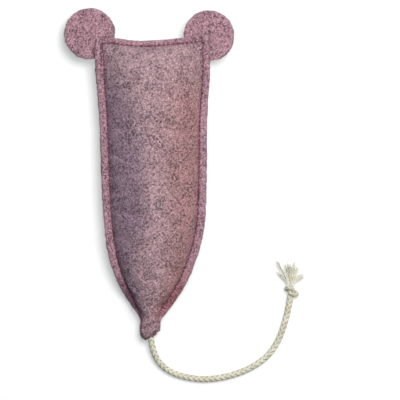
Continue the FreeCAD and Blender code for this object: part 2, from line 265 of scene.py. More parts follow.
def srgb(red, green, blue):
    """A display colour, 0 to 255, as scene-linear numbers."""
    return tuple(((v / 255 + 0.055) / 1.055) ** 2.4 for v in (red, green, blue)) + (1.0,)


def felt_material(name):
    """Melange wool felt: pale and dark fibres on a mauve ground, running every way."""
    n = Nodes(name)

    def fibres(size, turn, width, share):
        """Winding fibres, broken into short lengths."""
        place = n.turned(turn)
        line = n.noise(size, 1.5, 0.5, place=place, distortion=1.6)
        off = n.math("ABSOLUTE", n.math("SUBTRACT", line, 0.5))
        line = n.math("SUBTRACT", 1.0, n.step(off, width * 0.35, width))
        patches = n.noise(size * 1.3, 2, place=n.turned(turn + 0.9))
        patches = n.step(n.math("SUBTRACT", patches, share), -0.06, 0.06)
        return n.math("MULTIPLY", line, patches)

    cloud = n.step(n.noise(9.0, 4, 0.65), 0.35, 0.65)
    ground = n.mix(cloud, srgb(90, 68, 75), srgb(110, 84, 89))
    few = n.math("MULTIPLY_ADD", cloud, 0.05, 0.43)
    many = n.math("MULTIPLY_ADD", cloud, -0.05, 0.50)
    fine = n.noise(0.42, 3, 0.7)
    ground = n.mix(n.step(fine, 0.38, 0.62), n.mix(0.5, ground, srgb(38, 22, 30)), ground)
    dark = n.math("MAXIMUM", fibres(1.05, 0.4, 0.06, few), fibres(0.7, 2.2, 0.07, few))
    pale = n.math("MAXIMUM", fibres(0.95, 1.1, 0.055, many), fibres(0.65, 2.9, 0.065, many))
    grey = fibres(0.9, 3.6, 0.055, 0.5)
    colour = n.mix(n.math("MULTIPLY", dark, 0.85), ground, srgb(32, 14, 26))
    colour = n.mix(n.math("MULTIPLY", grey, 0.6), colour, srgb(118, 108, 104))
    colour = n.mix(n.math("MULTIPLY", pale, 0.88), colour, srgb(208, 177, 183))
    for tint, shade in FELT_TINTS.items():
        share = n.add("ShaderNodeAttribute", attribute_name=tint).outputs["Fac"]
        colour = n.mix(share, colour, n.mix(1.0, colour, (*shade, 1), "MULTIPLY"))
    n.look({"Base Color": colour, "Roughness": 0.95, "Specular IOR Level": 0.1,
            "Sheen Weight": 0.12, "Sheen Roughness": 0.6, "Sheen Tint": srgb(225, 200, 208)})
    relief = n.math("MULTIPLY_ADD", pale, 0.45, n.math("MULTIPLY_ADD", dark, -0.4, fine))
    n.bump(relief, 0.6, 0.4)
    return n.material


def thread_material():
    n = Nodes("maroon_thread")
    ply = n.noise(0.25, 1)
    n.look({"Base Color": n.mix(ply, srgb(32, 5, 16), srgb(64, 14, 32)), "Roughness": 0.6})
    n.bump(ply, 0.4, 0.08)
    return n.material


def cotton_material(name, pale, shade):
    """Unbleached cotton yarn, a little uneven in colour, with shade painted between its strands
    and between its yarns.

    Each strand of a braid is a ribbon of thinner yarns side by side."""
    n = Nodes(name)
    hairs = n.noise(0.22, 3, 0.7)
    cloudy = n.noise(5.0, 3)
    blend = n.math("MULTIPLY_ADD", hairs, 0.55, n.math("MULTIPLY", cloudy, 0.45))
    colour = n.mix(n.step(blend, 0.35, 0.65), shade, pale)
    # Painted shade on the lower sides of the strands and on the core.
    deep = n.add("ShaderNodeAttribute", attribute_name="groove").outputs["Fac"]
    colour = n.mix(deep, colour, n.mix(1.0, colour, (0.50, 0.48, 0.38, 1), "MULTIPLY"))
    across = n.add("ShaderNodeAttribute", attribute_name="across").outputs["Fac"]
    yarns = n.math("ABSOLUTE", n.math("SINE", n.math("MULTIPLY", across, math.pi * 12)))
    # Painted shade in the gaps between a strand's yarns.
    gap = n.math("MULTIPLY", n.math("GREATER_THAN", across, 0.001), n.step(yarns, 0.7, 0.0))
    colour = n.mix(gap, colour, n.mix(1.0, colour, (0.72, 0.70, 0.62, 1), "MULTIPLY"))
    n.look({"Base Color": colour, "Roughness": 0.9, "Specular IOR Level": 0.15,
            "Sheen Weight": 0.1})
    n.bump(n.math("MULTIPLY_ADD", gap, -0.8, hairs), 0.5, 0.14)
    return n.material


def filling_material():
    n = Nodes("polyester_fibre")
    wisps = n.noise(1.5, 5, 0.7, place=n.turned(0.7, 4.0))
    n.look({"Base Color": n.mix(wisps, srgb(225, 225, 222), srgb(250, 250, 248)),
            "Roughness": 1.0})
    n.bump(wisps, 0.8, 1.0)
    return n.material


def floor_material():
    n = Nodes("pale_paper")
    tone = n.mix(n.noise(4.0, 3), (0.375, 0.375, 0.375, 1), (0.38, 0.38, 0.38, 1))
    n.look({"Base Color": tone, "Roughness": 0.9, "Specular IOR Level": 0.1,
            "Emission Color": (0.97, 1.0, 0.99, 1), "Emission Strength": 0.46})
    return n.material


# ---------------- mesh helpers
def make_mesh(name, points, faces, material, smooth=True):
    """A mesh object from points in millimetres."""
    mesh = bpy.data.meshes.new(name)
    mesh.from_pydata([tuple(p * MM for p in point) for point in points], [], faces)
    mesh.update()
    mesh.polygons.foreach_set("use_smooth", [smooth] * len(mesh.polygons))
    mesh.materials.append(material)
    piece = bpy.data.objects.new(name, mesh)
    scene.collection.objects.link(piece)
    return piece


def mark(piece, name, values):
    """Gives a mesh a number at each point, for its material; the values repeat to fill it."""
    attribute = piece.data.attributes.new(name, "FLOAT", "POINT")
    full = np.resize(np.asarray(values, np.float32), len(piece.data.vertices))
    attribute.data.foreach_set("value", full)


def step_up(value, low, high):
    """A smooth rise: 0 below low and 1 above high."""
    t = np.clip((value - low) / (high - low), 0, 1)
    return t * t * (3 - 2 * t)


def between(table, t):
    """A smooth step-by-step reading of a table of (t, value) pairs."""
    if t <= table[0][0]:
        return table[0][1]
    for (t0, v0), (t1, v1) in zip(table, table[1:]):
        if t <= t1:
            return v0 + (v1 - v0) * step_up(t, t0, t1)
    return table[-1][1]


def ladder(stops):
    """Positions from the first stop to the last, with each stretch's own step."""
    places = []
    for (start, step), (end, _) in zip(stops, stops[1:]):
        count = max(1, math.ceil((end - start) / step))
        places += [start + (end - start) * i / count for i in range(count)]
    return places + [stops[-1][0]]


def wobble(seed, x, y=0.0, z=0.0):
    """Smooth noise about 0, roughly -1 to 1."""
    return noise.noise(Vector((x + 3.7 * seed, y - 5.1 * seed, z + 7.31 * seed)))


def wobbles(seed, *places):
    """The same smooth noise for whole arrays of places."""
    values = [wobble(seed, *place) for place in zip(*map(np.ravel, places))]
    return np.array(values).reshape(np.shape(places[0]))


def units(vectors):
    """The same directions, each of length 1."""
    return vectors / np.linalg.norm(vectors, axis=1)[:, None]


def length_along(path):
    """Length of a line up to each of its points."""
    return np.concatenate([[0], np.cumsum(np.linalg.norm(np.diff(path, axis=0), axis=1))])


def tube_rings(path, normals, sides, half_width, half_height):
    """Points and faces of a closed tube whose section is an ellipse, along a path."""
    points = []
    faces = []
    tangents = units(np.gradient(path, axis=0))
    widths = units(np.cross(tangents, normals))
    ups = np.cross(widths, tangents)
    wide = np.broadcast_to(half_width, len(path))
    high = np.broadcast_to(half_height, len(path))
    for i in range(len(path)):
        for k in range(sides):
            angle = 2 * math.pi * k / sides
            side = widths[i] * (math.cos(angle) * wide[i])
            points.append(path[i] + side + ups[i] * (math.sin(angle) * high[i]))
    for i in range(len(path) - 1):
        for k in range(sides):
            after = (k + 1) % sides
            a, b = i * sides + k, i * sides + after
            faces.append((a, b, b + sides, a + sides))
    last = (len(path) - 1) * sides
    faces.append(tuple(range(sides))[::-1])
    faces.append(tuple(last + k for k in range(sides)))
    return points, faces


def join_tubes(tubes):
    """The points and faces of many tubes as those of one mesh."""
    points = []
    faces = []
    for tube_points, tube_faces in tubes:
        start = len(points)
        points += tube_points
        faces += [tuple(start + v for v in face) for face in tube_faces]
    return points, faces


def carried_frame(path, first_up):
    """A direction across the path at each of its points, carried along without twist."""
    tangents = units(np.gradient(path, axis=0))
    ups = np.zeros_like(path)
    up = np.array(first_up, float)
    for i, tangent in enumerate(tangents):
        up = up - tangent * up.dot(tangent)
        up = up / np.linalg.norm(up)
        ups[i] = up
    return tangents, ups


def resample(path, step):
    """The same line with points an even step apart, and the length up to each."""
    path = np.asarray(path, float)
    run = length_along(path)
    count = max(8, int(round(run[-1] / step)))
    at = np.linspace(0, run[-1], count + 1)
    even = np.stack([np.interp(at, run, path[:, k]) for k in range(3)], axis=1)
    return even, at


# ---------------- the cord
def nurbs_line(route):
    """Points of the smooth line that a route controls, read from its NURBS curve."""
    curve = bpy.data.curves.new("tail_route", "CURVE")
    curve.dimensions = "3D"
    curve.resolution_u = 24
    spline = curve.splines.new("NURBS")
    spline.points.add(len(route) - 1)
    for point, place in zip(spline.points, route):
        point.co = (*place, 1.0)
    spline.order_u = 3
    spline.use_endpoint_u = True
    carrier = bpy.data.objects.new("tail_route", curve)
    scene.collection.objects.link(carrier)
    bpy.context.view_layer.update()
    line = bpy.data.meshes.new_from_object(carrier)
    points = np.array([v.co[:] for v in line.vertices]) / MM
    bpy.data.objects.remove(carrier)
    return points


def braid(path, first_up, diameter, lay):
    """Tubes of a round braid: as many strands each way, over two and under two."""
    path, run = resample(path, BRAID_STEP)
    tangents, ups = carried_frame(path, first_up)
    sides = np.cross(tangents, ups)
    given = np.atleast_1d(np.asarray(diameter, float))
    radius = np.interp(np.linspace(0, 1, len(path)), np.linspace(0, 1, len(given)), given) / 2
    scale = radius / (CORD_DIAMETER / 2)
    tubes = []
    turn = 2 * math.pi * run / lay
    for way in (1, -1):
        for number in range(STRANDS):
            angle = way * turn + 2 * math.pi * number / STRANDS
            over = np.cos(STRANDS / 2 * angle - math.pi / 4)
            out = ups * np.cos(angle)[:, None] + sides * np.sin(angle)[:, None]
            line = path + out * (radius - scale * (0.58 - 0.24 * way * over))[:, None]
            tubes.append(tube_rings(line, out, STRAND_SIDES, 0.98 * scale, 0.36 * scale))
    tubes.append(tube_rings(path, ups, STRAND_SIDES, 0.6 * radius, 0.6 * radius))
    return join_tubes(tubes)


def shade_grooves(piece):
    """Marks the lower part of each strand, and the core, for the cotton's painted shade.

    It also marks each point's place around its strand, for the strand's yarns and the shade
    painted between them."""
    count = len(piece.data.vertices)
    around = np.arange(STRAND_SIDES) / STRAND_SIDES
    shade = np.resize(np.clip(0.8 - np.sin(2 * np.pi * around), 0, 1), count)
    shade[-(count // (2 * STRANDS + 1)):] = 1.0
    mark(piece, "groove", shade)
    mark(piece, "across", around)


def make_tail_cord(cotton):
    """The braided cord along its route, and the route's own line."""
    line = nurbs_line(TAIL_ROUTE)
    points, faces = braid(line, (0, 0, 1), CORD_DIAMETER, CORD_LAY)
    cord = make_mesh("tail_braid", points, faces, cotton)
    shade_grooves(cord)
    return cord, line


# ---------------- the knot and the yarns
def tight_overhand(rounds=1300):
    """Centreline of an overhand knot pulled tight, for a cord of diameter 1.

    It starts as a loose overhand knot along X. At each round the ends are drawn apart, the
    line shrinks back to its length, and parts nearer than a diameter push each other away."""
    count = 110
    length = 15.0
    step = length / (count - 1)
    t = np.linspace(-2.3, 2.3, count)
    loose = (t ** 3 - 3 * t, 0.8 * (t ** 4 - 4 * t ** 2), 0.16 * (t ** 5 - 10 * t))
    line = np.stack(loose, axis=1)
    line *= 1.6 * length / np.linalg.norm(np.diff(line, axis=0), axis=1).sum()
    order = np.arange(count)
    far = np.abs(order[:, None] - order[None, :]) * step > 1.6
    for number in range(rounds):
        link = max(1.0, 1.6 - number / 400) * step
        line[0] += (-0.05, 0, 0)
        line[-1] += (0.05, 0, 0)
        line[[0, -1], 1:] *= 0.9
        line[1:-1] += 0.12 * ((line[:-2] + line[2:]) / 2 - line[1:-1])
        for _ in range(4):
            for odd in (0, 1):
                a = order[odd:-1:2]
                gap = line[a + 1] - line[a]
                size = np.linalg.norm(gap, axis=1)[:, None]
                move = gap * (1 - link / np.maximum(size, 1e-9)) / 2
                line[a] += move
                line[a + 1] -= move
            apart = line[:, None, :] - line[None, :, :]
            size = np.linalg.norm(apart, axis=2)
            near = far & (size < 1.0)
            push = np.where(near, (1.0 - size) / np.maximum(size, 1e-9), 0.0)
            shove = (apart * push[:, :, None]).sum(axis=1)
            line += 0.5 * shove / np.maximum(near.sum(axis=1), 1)[:, None]
    return line - (line[0] + line[-1]) / 2


def make_knot(cotton, cord_line):
    """The cord's overhand knot, between the end of the tail and the throat of the tassel."""
    start, end = cord_line[-1], TASSEL_THROAT
    tied = tight_overhand()
    low, high = (np.array(corner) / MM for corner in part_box("tail_knot"))
    along = (end - start) / np.linalg.norm(end - start)
    across = np.cross(along, (0, 0, 1))
    across /= np.linalg.norm(across)
    up = np.cross(across, along)
    size = KNOT_CORD_DIAMETER
    # Its X runs along the cord and its Z across it, so that the top wrap falls away to the
    # right. Its long ends are left off.
    x, y, z = tied[np.abs(tied[:, 0]) < 2.6].T[:, :, None]
    line = (0.86 * x * along + z * across - 0.8 * y * up) * size
    line += (low + high) / 2 - (line.min(axis=0) + line.max(axis=0)) / 2
    line[:, 2] += max(0.0, 0.1 + size / 2 - line[:, 2].min())
    # The two ends leave the knot towards the tail and the throat.
    ease_in = np.clip(1 - np.arange(len(line)) / 14, 0, 1)[:, None] ** 1.5
    line += ease_in * (start - line[0]) + ease_in[::-1] * (end - line[-1])
    line = np.vstack([start - along * 1.2, line])
    # The cord narrows into the knot and widens a little behind it.
    diameter = np.full(len(line), size)
    diameter[:12] = np.linspace(3.7, size, 12)
    diameter[-10:] = np.linspace(size, 3.2, 10)
    path, _ = resample(line, BRAID_STEP)
    points, faces = braid(smooth_line(path, 6), (0.1, 0.2, 1), diameter, KNOT_LAY)
    knot = make_mesh("knot_braid", points, faces, cotton)
    shade_grooves(knot)
    return knot


def smooth_line(line, rounds):
    """The same line with its corners eased, a little more at each round."""
    line = line.copy()
    for _ in range(rounds):
        line[1:-1] = (line[:-2] + 2 * line[1:-1] + line[2:]) / 4
    return line


def make_yarn(name, tip, start, fan, rng, cotton):
    """One frayed yarn: fine fibres together at the throat, spreading towards the tip."""
    tubes = []
    tip = np.array(tip, float)
    way = tip - TASSEL_THROAT
    # Each fibre bows from its root inside the knot, through the throat, to its end.
    for _ in range(FIBRES_PER_YARN):
        spread = np.array([rng.gauss(0, 1), rng.gauss(0, 1), rng.gauss(0, 0.7)])
        reach = rng.uniform(0.74, 1.14)
        end = TASSEL_THROAT + way * reach + spread * fan
        end[2] = max(end[2], 0.35)
        root = start + np.array([rng.uniform(-0.45, 0.45), 0, rng.uniform(-0.45, 0.45)])
        root[1] -= 1.6
        mid = TASSEL_THROAT + np.array([(start[0] - TASSEL_THROAT[0]) * 0.8, 1.6, 0]) + way * 0.16
        mid[2] = max(mid[2] + spread[2] * 0.2, 0.5)
        bow = np.array([rng.gauss(0, 0.35), rng.gauss(0, 0.25), rng.gauss(0, 0.3)])
        t = np.linspace(0, 1, 12)[:, None]
        path = (1 - t) ** 2 * root + 2 * t * (1 - t) * (mid + bow) + t ** 2 * end
        thin = 0.2 * (1 - 0.7 * t[:, 0] ** 2)
        up = np.tile((0.05, 0.1, 1.0), (len(path), 1))
        tubes.append(tube_rings(path, up, 5, thin, thin))
    points, faces = join_tubes(tubes)
    return make_mesh(name, points, faces, cotton)


# ---------------- the felt panels
def ray_tree(mesh):
    """A mesh that can be asked for its heights, in millimetres."""
    points = [tuple(v.co * (1 / MM)) for v in mesh.vertices]
    return BVHTree.FromPolygons(points, [tuple(face.vertices) for face in mesh.polygons])


def skin(tree, x, y, side):
    """Heights of a panel's outer and inner faces at a place, or None beside the panel."""
    way = Vector((0, 0, -side))
    outer = tree.ray_cast(Vector((x, y, RAY_HEIGHT * side)), way)[0]
    if outer is None:
        return None
    inner = tree.ray_cast(outer + way * 0.25, way)[0]
    return (outer.z, inner.z) if inner else None


def search(inside, outside, rounds, is_outside):
    """Halves the stretch between two places until it has the last one inside."""
    for _ in range(rounds):
        middle = (inside + outside) / 2
        if is_outside(middle):
            outside = middle
        else:
            inside = middle
    return inside


class Outline:
    """The felt's outline and the grid that both panels share."""

    def __init__(self, tree):
        self.tree = tree
        # The top edge's Y at even places, and the rows' distances below that edge.
        self.across = np.linspace(-34.6, 36.2, 60)
        self.top = [search(30, 90, 18, lambda y: self.is_beside(x, y)) for x in self.across]
        self.rows = ladder([(0, 0.14), (0.28, 0.35), (1.4, 0.6), (2.6, 0.35), (4.7, 0.7), (8, 0.9),
                            (150, 0.8), (178.5, 0.6), (181.9, 0.25), (182.6, 0.2)])
        self.rows = sorted(set(self.rows) | {TOP_INSET})
        self.left = [self.edge(s, -1) for s in self.rows]
        self.right = [self.edge(s, 1) for s in self.rows]

    def is_beside(self, x, y):
        """Whether a place is beside the felt."""
        return self.tree.ray_cast(Vector((x, y, RAY_HEIGHT)), Vector((0, 0, -1)))[0] is None

    def row_y(self, s, x):
        """Y of a row that starts s below the top edge; rows lower down are straighter."""
        top = np.interp(x, self.across, self.top)
        return BODY_TOP - s + (top - BODY_TOP) * np.exp(-s / SEAM_TOP_FADE)

    def edge(self, s, way):
        """X of the left or right edge on a row."""
        s = min(max(s, 0.02), 182.5)
        return search(0.8, 50.0 * way, 20, lambda x: self.is_beside(x, self.row_y(s, x)))

    def seam_inset(self, s, way):
        """Distance of the stitches from the left or right edge on a row."""
        return between(LEFT_SEAM if way < 0 else RIGHT_SEAM, BODY_TOP - s)

    def grid(self):
        """X, Y and the distances from the left, right and top edges, and from their seams."""
        rows = []
        for s, left, right in zip(self.rows, self.left, self.right):
            inset_l, inset_r = self.seam_inset(s, -1), self.seam_inset(s, 1)
            flange = np.array(FLANGE_COLUMNS) / SIDE_INSET
            x_l = left + flange * inset_l
            x_r = right - flange[::-1] * inset_r
            turn = np.linspace(-1, 1, DOME_COLUMNS + 2)[1:-1]
            middle, half = (x_l[-1] + x_r[0]) / 2, (x_r[0] - x_l[-1]) / 2
            x = np.concatenate([x_l, middle + half * turn, x_r])
            rows.append((x, self.row_y(s, x), x - left, right - x, np.full(len(x), s),
                         x - left - inset_l, right - x - inset_r,
                         np.full(len(x), s - TOP_INSET)))
        keys = ("x", "y", "left", "right", "top", "seam_l", "seam_r", "seam_t")
        return {key: np.array(values) for key, values in zip(keys, zip(*rows))}

    def seam_line(self):
        """Where the stitches run: up the left side, along the top and down the right side."""
        left, right = [], []
        for s, x_l, x_r in zip(self.rows, self.left, self.right):
            if s >= TOP_INSET:
                x_l += self.seam_inset(s, -1)
                x_r -= self.seam_inset(s, 1)
                left.append((x_l, float(self.row_y(s, x_l))))
                right.append((x_r, float(self.row_y(s, x_r))))
        top = [(x, float(self.row_y(TOP_INSET, x)))
               for x in np.linspace(left[0][0], right[0][0], 60)[1:-1]]
        left = [point for point in left if point[1] > LEFT_STITCH_END][::-1]
        right = [point for point in right if point[1] > RIGHT_STITCH_END]
        return np.array(left + top + right)


def from_segment(x, y, start, end):
    """Distance of each place from a straight line between two points."""
    ax, ay = start
    bx, by = end[0] - ax, end[1] - ay
    t = np.clip(((x - ax) * bx + (y - ay) * by) / (bx * bx + by * by), 0, 1)
    return np.hypot(x - ax - t * bx, y - ay - t * by)


def fin_share(y):
    """1 along the lower sides, where the felt outside the seam bends down like a fin."""
    return np.exp(-((y + 77) / 11) ** 2) * step_up(y, -91, -86)


def felt_relief(g, side):
    """How far the outer face stands proud of the plain panel, in millimetres.

    It also gives the distance inside the seam, and the shade painted into the seam, the creases
    and the fin's groove."""
    x, y = g["x"], g["y"]
    seam = np.minimum(np.minimum(g["seam_l"], g["seam_r"]), g["seam_t"])
    sewn = step_up(y, -87, -80)
    relief = -sewn * (0.5 * np.exp(-(seam / 0.6) ** 2) + 0.38 * np.exp(-(seam / 1.5) ** 2))
    runs = (("seam_l", y, 1), ("seam_r", y, 2), ("seam_t", x, 3))
    for key, along, seed in runs:
        inside = np.maximum(g[key], 0)
        near = np.exp(-inside / 5.5) * (1 - np.exp(-inside / 0.9))
        wave = np.sin(2 * math.pi * along / 7.4 + 2.6 * wobbles(seed, along / 11))
        relief += 0.42 * sewn * near * wave * (0.6 + 0.8 * wobbles(seed + 4, along / 17))
    fin_groove = fin_share(y) * np.exp(-((seam - 0.4) / 1.1) ** 2)
    relief -= 2.6 * fin_groove
    knob = step_up(-y, 90.5, 93) * step_up(seam, 0.3, 2.0)
    relief += 0.55 * knob * wobbles(25 + side, x / 2.6, y / 2.2)
    dome = step_up(seam, 1.0, 9.0)
    relief += dome * (0.7 * wobbles(11 + side, x / 19, y / 23) + 0.3 * wobbles(14, x / 8, y / 7))
    relief += 0.05 * wobbles(17 + side, x / 1.1, y / 1.1) + 0.06 * wobbles(21, x / 2.4, y / 2.4)
    # Painted shade in the seam's groove and, stronger, in the fin's groove.
    painted_shade = np.exp(-(seam / 0.62) ** 2) * step_up(y, -86, -81)
    painted_shade = np.maximum(painted_shade, 1.25 * fin_groove)
    for start, end, depth, width in (CREASES if side > 0 else BACK_CREASES):
        off = from_segment(x, y, start, end)
        fold = np.exp(-(off / width) ** 2)
        relief -= depth * fold
        relief += 0.45 * depth * np.exp(-((off - 2.3 * width) / (1.2 * width)) ** 2)
        # Painted shade in the crease.
        painted_shade = np.maximum(painted_shade, 0.55 * depth * fold)
    return relief, seam, painted_shade


def face_heights(node, side, outline, g):
    """Heights of the CAD panel's outer and inner faces at each place of the grid."""
    x, y = g["x"], g["y"]
    tree = ray_tree(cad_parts[node].data)
    outer, inner = np.zeros_like(x), np.zeros_like(x)
    for i in range(x.shape[0]):
        for j in range(x.shape[1]):
            near_x = min(max(x[i, j], outline.left[i] + 0.03), outline.right[i] - 0.03)
            near_y = max(y[i, j] - 0.03 * (i == 0), BODY_END + 0.05)
            found = skin(tree, near_x, near_y, side)
            if found is None:
                found = skin(tree, near_x * 0.995 + 0.004, near_y - 0.05, side)
            outer[i, j], inner[i, j] = found or (outer[i - 1, j], inner[i - 1, j])
    return outer, inner


def make_panel(node, side, outline, felt, name):
    """One felt panel, as a closed piece of felt that follows its CAD solid."""
    g = outline.grid()
    x, y = g["x"], g["y"]
    outer, inner = face_heights(node, side, outline, g)
    # Where the panels are sewn together, neither inner face crosses this level.
    level = side * (side * inner).min(axis=1)[:, None]
    relief, seam, painted_shade = felt_relief(g, side)
    swell = inflate(x, y, outer, seam, side, felt, name)
    edge = np.minimum(np.minimum(g["left"], g["right"]), g["top"])
    inset = np.minimum(1.0, np.array([outline.seam_inset(s, -1) for s in outline.rows]) / 4.0)
    rounding = np.maximum(EDGE_ROUND * inset, 0.12)[:, None]
    part = np.clip(1 - edge / rounding, 0, 1)
    drop = rounding * (1 - np.sqrt(1 - part ** 2))
    # The felt outside the seam waves a little, and bends down along the lower sides.
    wave = 0.9 * wobbles(31, x / 30, y / 15) * step_up(-seam, 0.3, 4.5) * step_up(-y, -66, -48)
    wave *= step_up(y, -90, -70)
    wave -= 4.2 * fin_share(y) * step_up(-seam, -0.5, 3.8)
    outer += side * (relief - drop) + wave + swell[2]
    inner += side * drop * 0.7 + wave + swell[2]
    too_thin = side * (outer - inner) < THINNEST_FELT
    inner = np.where(too_thin, outer - side * THINNEST_FELT, inner)
    inner = side * np.maximum(side * inner, side * (level + wave))
    outer = side * np.maximum(side * outer, side * inner + THINNEST_FELT)
    # The cut edge isn't quite even.
    cut = np.exp(-edge / 1.4) * inset[:, None]
    ragged = 0.42 * wobbles(41 + side, x / 4.2, y / 4.2)
    ragged += 0.3 * wobbles(43 + side, x / 1.3, y / 1.3)
    sideways = np.where(g["left"] < g["right"], -1, 1) * (g["top"] > 1.5)
    x = x + swell[0] + cut * ragged * sideways
    # The left edge bulges a little below the ear, and the lower end is slanted.
    x = x - 0.9 * np.exp(-((y - 74) / 5) ** 2) * np.exp(-g["left"] / 3)
    y = y + swell[1] + cut * ragged * (g["top"] < 4) * 0.8
    y = y + 0.5 * (x + 1.0) * step_up(-y, 95, -BODY_END)
    if side < 0:
        outer = np.maximum(outer, FLOOR_GAP)
        inner = np.maximum(inner, outer + THINNEST_FELT)
    else:
        inner = np.maximum(inner, FLOOR_GAP + THINNEST_FELT)
        outer = np.maximum(outer, inner + THINNEST_FELT)
    piece = grid_mesh(name, x, y, outer, inner, side, felt)
    mark(piece, "pink", (step_up(-seam, -2.0, 0.5) * step_up(y, -93, -88)).ravel())
    if side > 0:
        painted_shade = shade_sides(piece, g, seam, painted_shade)
    # The painted shade of the seam, the creases and the fins, for the felt's groove tint.
    mark(piece, "groove", painted_shade.ravel())
    return piece


def shade_sides(piece, g, seam, painted_shade):
    """Marks painted shade on the crown's sides and on the fin below: bluish on the left, brownish
    on the right.

    It gives back the painted shade of the seam and the creases, with the fin's painted shade in
    it."""
    y = g["y"]
    across = (g["seam_l"] - g["seam_r"]) / np.maximum(g["seam_l"] + g["seam_r"], 0.1)
    within = step_up(seam, -0.6, 0.6)
    outside = fin_share(y) * (1 - within)
    within *= 0.15 + 0.85 * step_up(y, -94, -84)
    wide = step_up(-y, -50, 0) * step_up(y, -52, -30)
    cool = within * step_up(-across, 0.25 - 0.3 * wide, 0.85 - 0.35 * wide)
    cool *= 0.35 + 0.65 * step_up(-y, -66, -40)
    warm = within * step_up(across, 0.15 - 0.25 * step_up(y, -45, 0), 0.8)
    warm *= 0.15 + 0.85 * step_up(-y, -72, -35)
    # Painted shade: bluer and darker towards the left, browner towards the right, and on the fin
    # beyond the seam on each side.
    mark(piece, "cool", (cool + outside * (across < 0)).ravel())
    mark(piece, "warm", (warm + outside * (across > 0)).ravel())
    return np.maximum(painted_shade, 0.8 * outside)


def cell_corners(index):
    """The four corners of every cell in a grid of point numbers."""
    corners = (index[:-1, :-1], index[1:, :-1], index[1:, 1:], index[:-1, 1:])
    return [corner.ravel() for corner in corners]


def grid_mesh(name, x, y, outer, inner, side, material):
    """A closed mesh from the two faces of a sheet and a rounded edge between them."""
    rows, columns = x.shape
    count = rows * columns
    index = np.arange(count).reshape(rows, columns)
    sides = (index[0, :-1], index[:-1, -1], index[-1, :0:-1], index[:0:-1, 0])
    ring = np.concatenate(sides)
    flat = [np.stack([x.ravel(), y.ravel(), z.ravel()], axis=1) for z in (outer, inner)]
    rim = (flat[0][ring] + flat[1][ring]) / 2
    out = np.roll(rim, -1, axis=0) - np.roll(rim, 1, axis=0)
    out = np.stack([out[:, 1], -out[:, 0], 0 * out[:, 0]], axis=1)
    out /= np.maximum(np.linalg.norm(out, axis=1), 1e-6)[:, None]
    middle = rim[:, :2].mean(axis=0)
    if (out[:, :2] * (rim[:, :2] - middle)).sum() < 0:
        out = -out
    rim = rim + out * 0.16
    points = np.vstack([flat[0], flat[1], rim])
    a, b, c, d = cell_corners(index)
    faces = np.stack([a, b, c, d], axis=1)
    under = np.stack([a, d, c, b], axis=1) + count
    after = np.roll(ring, -1)
    mid = 2 * count + np.arange(len(ring))
    mid_after = np.roll(mid, -1)
    upper = np.stack([ring, after, mid_after, mid], axis=1)
    lower = np.stack([mid, mid_after, after + count, ring + count], axis=1)
    faces = np.vstack([faces, under, upper, lower])
    if side < 0:
        faces = faces[:, ::-1]
    return make_mesh(name, points, faces.tolist(), material)


def inflate(x, y, z, seam, side, felt, name):
    """How the stuffing moves the felt: a cloth simulation of the panel, pinned at its seam.

    It gives the moves in X, Y and Z, at most SWELL_LIMIT long."""
    moves = np.zeros((3, *x.shape))
    # Every second row and column of the grid is enough for the cloth.
    keep_r = sorted(set(range(0, x.shape[0], 2)) | {x.shape[0] - 1})
    keep_c = sorted(set(range(0, x.shape[1], 2)) | {x.shape[1] - 1})
    coarse = np.ix_(keep_r, keep_c)
    start = np.stack([x[coarse].ravel(), y[coarse].ravel(), z[coarse].ravel()], axis=1)
    rows, columns = len(keep_r), len(keep_c)
    index = np.arange(rows * columns).reshape(rows, columns)
    faces = np.stack(cell_corners(index), axis=1)
    if side < 0:
        faces = faces[:, ::-1]
    cloth = make_mesh(name + "_cloth", start * CLOTH_SCALE, faces.tolist(), felt)
    pins = cloth.vertex_groups.new(name="sewn")
    held = np.clip(1 - step_up(seam[coarse].ravel(), 0.3, 1.6), 0, 1)
    for number, weight in enumerate(held):
        pins.add([number], float(weight), "REPLACE")
    settings = cloth.modifiers.new("cloth", "CLOTH").settings
    for key, value in CLOTH.items():
        setattr(settings, key, value)
    settings.effector_weights.gravity = 0
    for number in range(1, CLOTH_FRAMES + 1):
        scene.frame_set(number)
    shaped = cloth.evaluated_get(bpy.context.evaluated_depsgraph_get()).to_mesh()
    end = np.array([v.co[:] for v in shaped.vertices]) / MM / CLOTH_SCALE
    bpy.data.objects.remove(cloth)
    scene.frame_set(1)
    move = end - start
    size = np.linalg.norm(move, axis=1)[:, None]
    move *= np.minimum(1, SWELL_LIMIT / np.maximum(size, 1e-9))
    move = move.reshape(rows, columns, 3)
    all_r, all_c = np.arange(x.shape[0]), np.arange(x.shape[1])
    for axis in range(3):
        wide = np.array([np.interp(all_c, keep_c, row) for row in move[:, :, axis]])
        moves[axis] = np.array([np.interp(all_r, keep_r, column) for column in wide.T]).T
    # The gathered lower end is too tightly sewn to swell.
    return moves * step_up(y, -93, -84)


